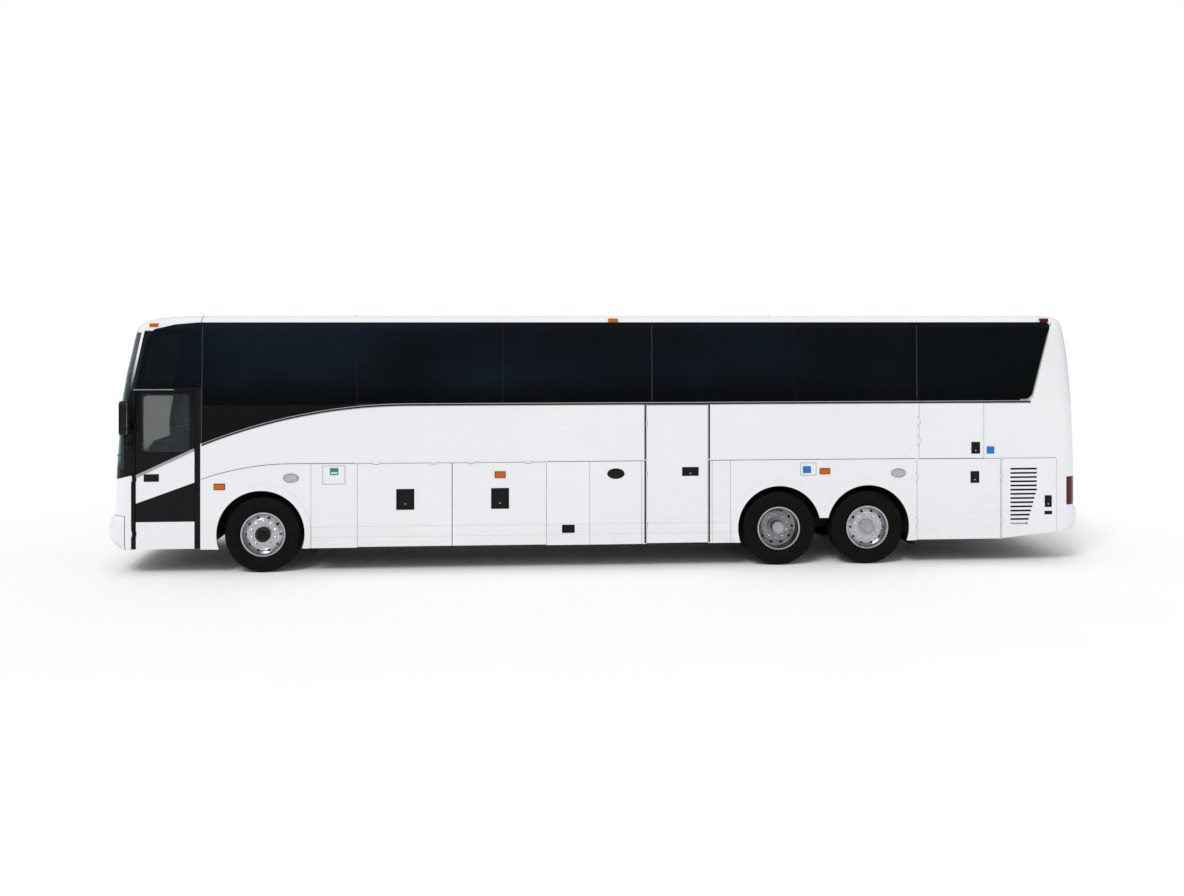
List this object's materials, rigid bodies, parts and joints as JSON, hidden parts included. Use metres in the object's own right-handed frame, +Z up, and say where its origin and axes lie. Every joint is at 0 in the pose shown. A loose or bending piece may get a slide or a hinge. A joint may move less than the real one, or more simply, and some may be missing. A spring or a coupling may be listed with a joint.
{
  "type": "coach bus",
  "caption": "White three-axle touring coach with a black glass side, an entry door ahead of the front wheel, luggage doors, a lift door, service doors and alloy wheels.",
  "frame": {"origin": "on the ground below the middle of the coach", "axes": "-X is the front, +Z is up, -Y is the side with the entry door"},
  "size_m": [13.8, 3.114, 3.539],
  "materials": {
    "body_paint": "gloss white",
    "mask_paint": "gloss black and white",
    "chassis_paint": "satin black",
    "axle_iron": "satin painted",
    "tinted_glass": "dark tint",
    "screen_glass": "clear with a shade band",
    "lamp_clear": "clear",
    "lamp_amber": "clear coloured",
    "lamp_red": "clear coloured",
    "black_plastic": "grained",
    "rubber": "matt",
    "tyre": "matt",
    "wheel_alloy": "polished",
    "floor_vinyl": "textured vinyl",
    "dash_plastic": "grained",
    "seat_fabric": "woven",
    "engine_grey": "painted"
  },
  "bodies": {
    "coach": {"side_wall_left": "body_paint", "side_wall_right": "body_paint", "roof": "body_paint", "rear_mask": "body_paint", "front_bumper": "body_paint", "rear_bumper": "body_paint", "front_mask": "mask_paint", "underframe": "chassis_paint", "wheel_housings": "chassis_paint", "front_axle": "axle_iron", "drive_axle": "axle_iron", "tag_axle": "axle_iron", "side_windows_left": "tinted_glass", "side_windows_right": "tinted_glass", "rear_window": "tinted_glass", "windscreen": "screen_glass", "clear_lamps": "lamp_clear", "amber_lamps": "lamp_amber", "red_lamps": "lamp_red", "mirrors": "black_plastic", "wipers": "black_plastic", "entry_door_seals": "rubber", "mud_flaps": "rubber", "cabin_floor": "floor_vinyl", "driver_platform": "floor_vinyl", "dashboard": "dash_plastic", "seats": "seat_fabric", "engine": "engine_grey"},
    "knuckle_left": {"knuckle_left": "axle_iron"},
    "front_wheel_left": {"front_tyre_left": "tyre", "front_rim_left": "wheel_alloy"},
    "drive_wheels_left": {"drive_tyres_left": "tyre", "drive_rims_left": "wheel_alloy"},
    "tag_wheel_left": {"tag_tyre_left": "tyre", "tag_rim_left": "wheel_alloy"},
    "knuckle_right": {"knuckle_right": "axle_iron"},
    "front_wheel_right": {"front_tyre_right": "tyre", "front_rim_right": "wheel_alloy"},
    "drive_wheels_right": {"drive_tyres_right": "tyre", "drive_rims_right": "wheel_alloy"},
    "tag_wheel_right": {"tag_tyre_right": "tyre", "tag_rim_right": "wheel_alloy"},
    "steering_wheel": {"steering_wheel": "dash_plastic"},
    "entry_door": {"entry_door": "body_paint", "entry_door_glass": "screen_glass"},
    "luggage_door_left_1": {"luggage_door_left_1": "body_paint"},
    "luggage_door_left_2": {"luggage_door_left_2": "body_paint", "door_lamp_left": "lamp_amber"},
    "lift_door": {"lift_door": "body_paint"},
    "service_door_left": {"service_door_left": "body_paint"},
    "hatch_door_left": {"hatch_door_left": "body_paint"},
    "louvre_door_left": {"louvre_door_left": "body_paint"},
    "luggage_door_right_1": {"luggage_door_right_1": "body_paint"},
    "luggage_door_right_2": {"luggage_door_right_2": "body_paint", "door_lamp_right": "lamp_amber"},
    "louvre_door_right": {"louvre_door_right": "body_paint"},
    "engine_door": {"engine_door": "body_paint"},
    "roof_hatch_front": {"roof_hatch_front": "body_paint"},
    "roof_hatch_rear": {"roof_hatch_rear": "body_paint"}
  },
  "joints": [
    {"name": "steer_left", "type": "hinge", "parent": "coach", "child": "knuckle_left", "pos_m": [-4.71, -0.88, 0.522], "axis": [0, 0, 1], "range_deg": [-40, 40]},
    {"name": "steer_right", "type": "hinge", "parent": "coach", "child": "knuckle_right", "pos_m": [-4.71, 0.88, 0.522], "axis": [0, 0, 1], "range_deg": [-40, 40]},
    {"name": "steering_wheel_turn", "type": "hinge", "parent": "coach", "child": "steering_wheel", "pos_m": [-6.08, 0.64, 1.79], "axis": [0.6198, 0, 0.7848], "range_deg": [-610, 610]},
    {"name": "front_wheel_left_roll", "type": "hinge", "parent": "knuckle_left", "child": "front_wheel_left", "pos_m": [-4.71, -1.115, 0.522], "axis": [0, 1, 0], "continuous": true},
    {"name": "drive_wheels_left_roll", "type": "hinge", "parent": "coach", "child": "drive_wheels_left", "pos_m": [2.481, -1.115, 0.522], "axis": [0, 1, 0], "continuous": true},
    {"name": "tag_wheel_left_roll", "type": "hinge", "parent": "coach", "child": "tag_wheel_left", "pos_m": [3.76, -1.115, 0.522], "axis": [0, 1, 0], "continuous": true},
    {"name": "front_wheel_right_roll", "type": "hinge", "parent": "knuckle_right", "child": "front_wheel_right", "pos_m": [-4.71, 1.115, 0.522], "axis": [0, 1, 0], "continuous": true},
    {"name": "drive_wheels_right_roll", "type": "hinge", "parent": "coach", "child": "drive_wheels_right", "pos_m": [2.481, 1.115, 0.522], "axis": [0, 1, 0], "continuous": true},
    {"name": "tag_wheel_right_roll", "type": "hinge", "parent": "coach", "child": "tag_wheel_right", "pos_m": [3.76, 1.115, 0.522], "axis": [0, 1, 0], "continuous": true},
    {"name": "entry_door_hinge", "type": "hinge", "parent": "coach", "child": "entry_door", "pos_m": [-6.409, -1.293, 1.4], "axis": [0, 0, -1], "range_deg": [0, 90]},
    {"name": "luggage_door_left_1_hinge", "type": "hinge", "parent": "coach", "child": "luggage_door_left_1", "pos_m": [-2.7725, -1.295, 1.489], "axis": [-1, 0, 0], "range_deg": [0, 90]},
    {"name": "luggage_door_left_2_hinge", "type": "hinge", "parent": "coach", "child": "luggage_door_left_2", "pos_m": [-1.4655, -1.295, 1.489], "axis": [-1, 0, 0], "range_deg": [0, 90]},
    {"name": "luggage_door_right_1_hinge", "type": "hinge", "parent": "coach", "child": "luggage_door_right_1", "pos_m": [-2.7725, 1.295, 1.489], "axis": [1, 0, 0], "range_deg": [0, 90]},
    {"name": "luggage_door_right_2_hinge", "type": "hinge", "parent": "coach", "child": "luggage_door_right_2", "pos_m": [-1.4655, 1.295, 1.489], "axis": [1, 0, 0], "range_deg": [0, 90]},
    {"name": "lift_door_hinge", "type": "hinge", "parent": "coach", "child": "lift_door", "pos_m": [0.595, -1.295, 1.3], "axis": [0, 0, -1], "range_deg": [0, 90]},
    {"name": "service_door_left_hinge", "type": "hinge", "parent": "coach", "child": "service_door_left", "pos_m": [4.473, -1.295, 0.9], "axis": [0, 0, -1], "range_deg": [0, 90]},
    {"name": "hatch_door_left_hinge", "type": "hinge", "parent": "coach", "child": "hatch_door_left", "pos_m": [4.503, -1.295, 1.9], "axis": [0, 0, -1], "range_deg": [0, 90]},
    {"name": "louvre_door_left_hinge", "type": "hinge", "parent": "coach", "child": "louvre_door_left", "pos_m": [5.715, -1.295, 0.9], "axis": [0, 0, -1], "range_deg": [0, 90]},
    {"name": "louvre_door_right_hinge", "type": "hinge", "parent": "coach", "child": "louvre_door_right", "pos_m": [5.715, 1.295, 0.9], "axis": [0, 0, 1], "range_deg": [0, 90]},
    {"name": "engine_door_hinge", "type": "hinge", "parent": "coach", "child": "engine_door", "pos_m": [6.856, 0, 1.48], "axis": [0, -1, 0], "range_deg": [0, 85]},
    {"name": "roof_hatch_front_hinge", "type": "hinge", "parent": "coach", "child": "roof_hatch_front", "pos_m": [-3.605, 0, 3.53], "axis": [0, -1, 0], "range_deg": [0, 60]},
    {"name": "roof_hatch_rear_hinge", "type": "hinge", "parent": "coach", "child": "roof_hatch_rear", "pos_m": [2.595, 0, 3.53], "axis": [0, -1, 0], "range_deg": [0, 60]}
  ],
  "couplings": [
    {"joint": "steer_right", "follows": "steer_left", "ratio": 1},
    {"joint": "steering_wheel_turn", "follows": "steer_left", "ratio": 15}
  ]
}
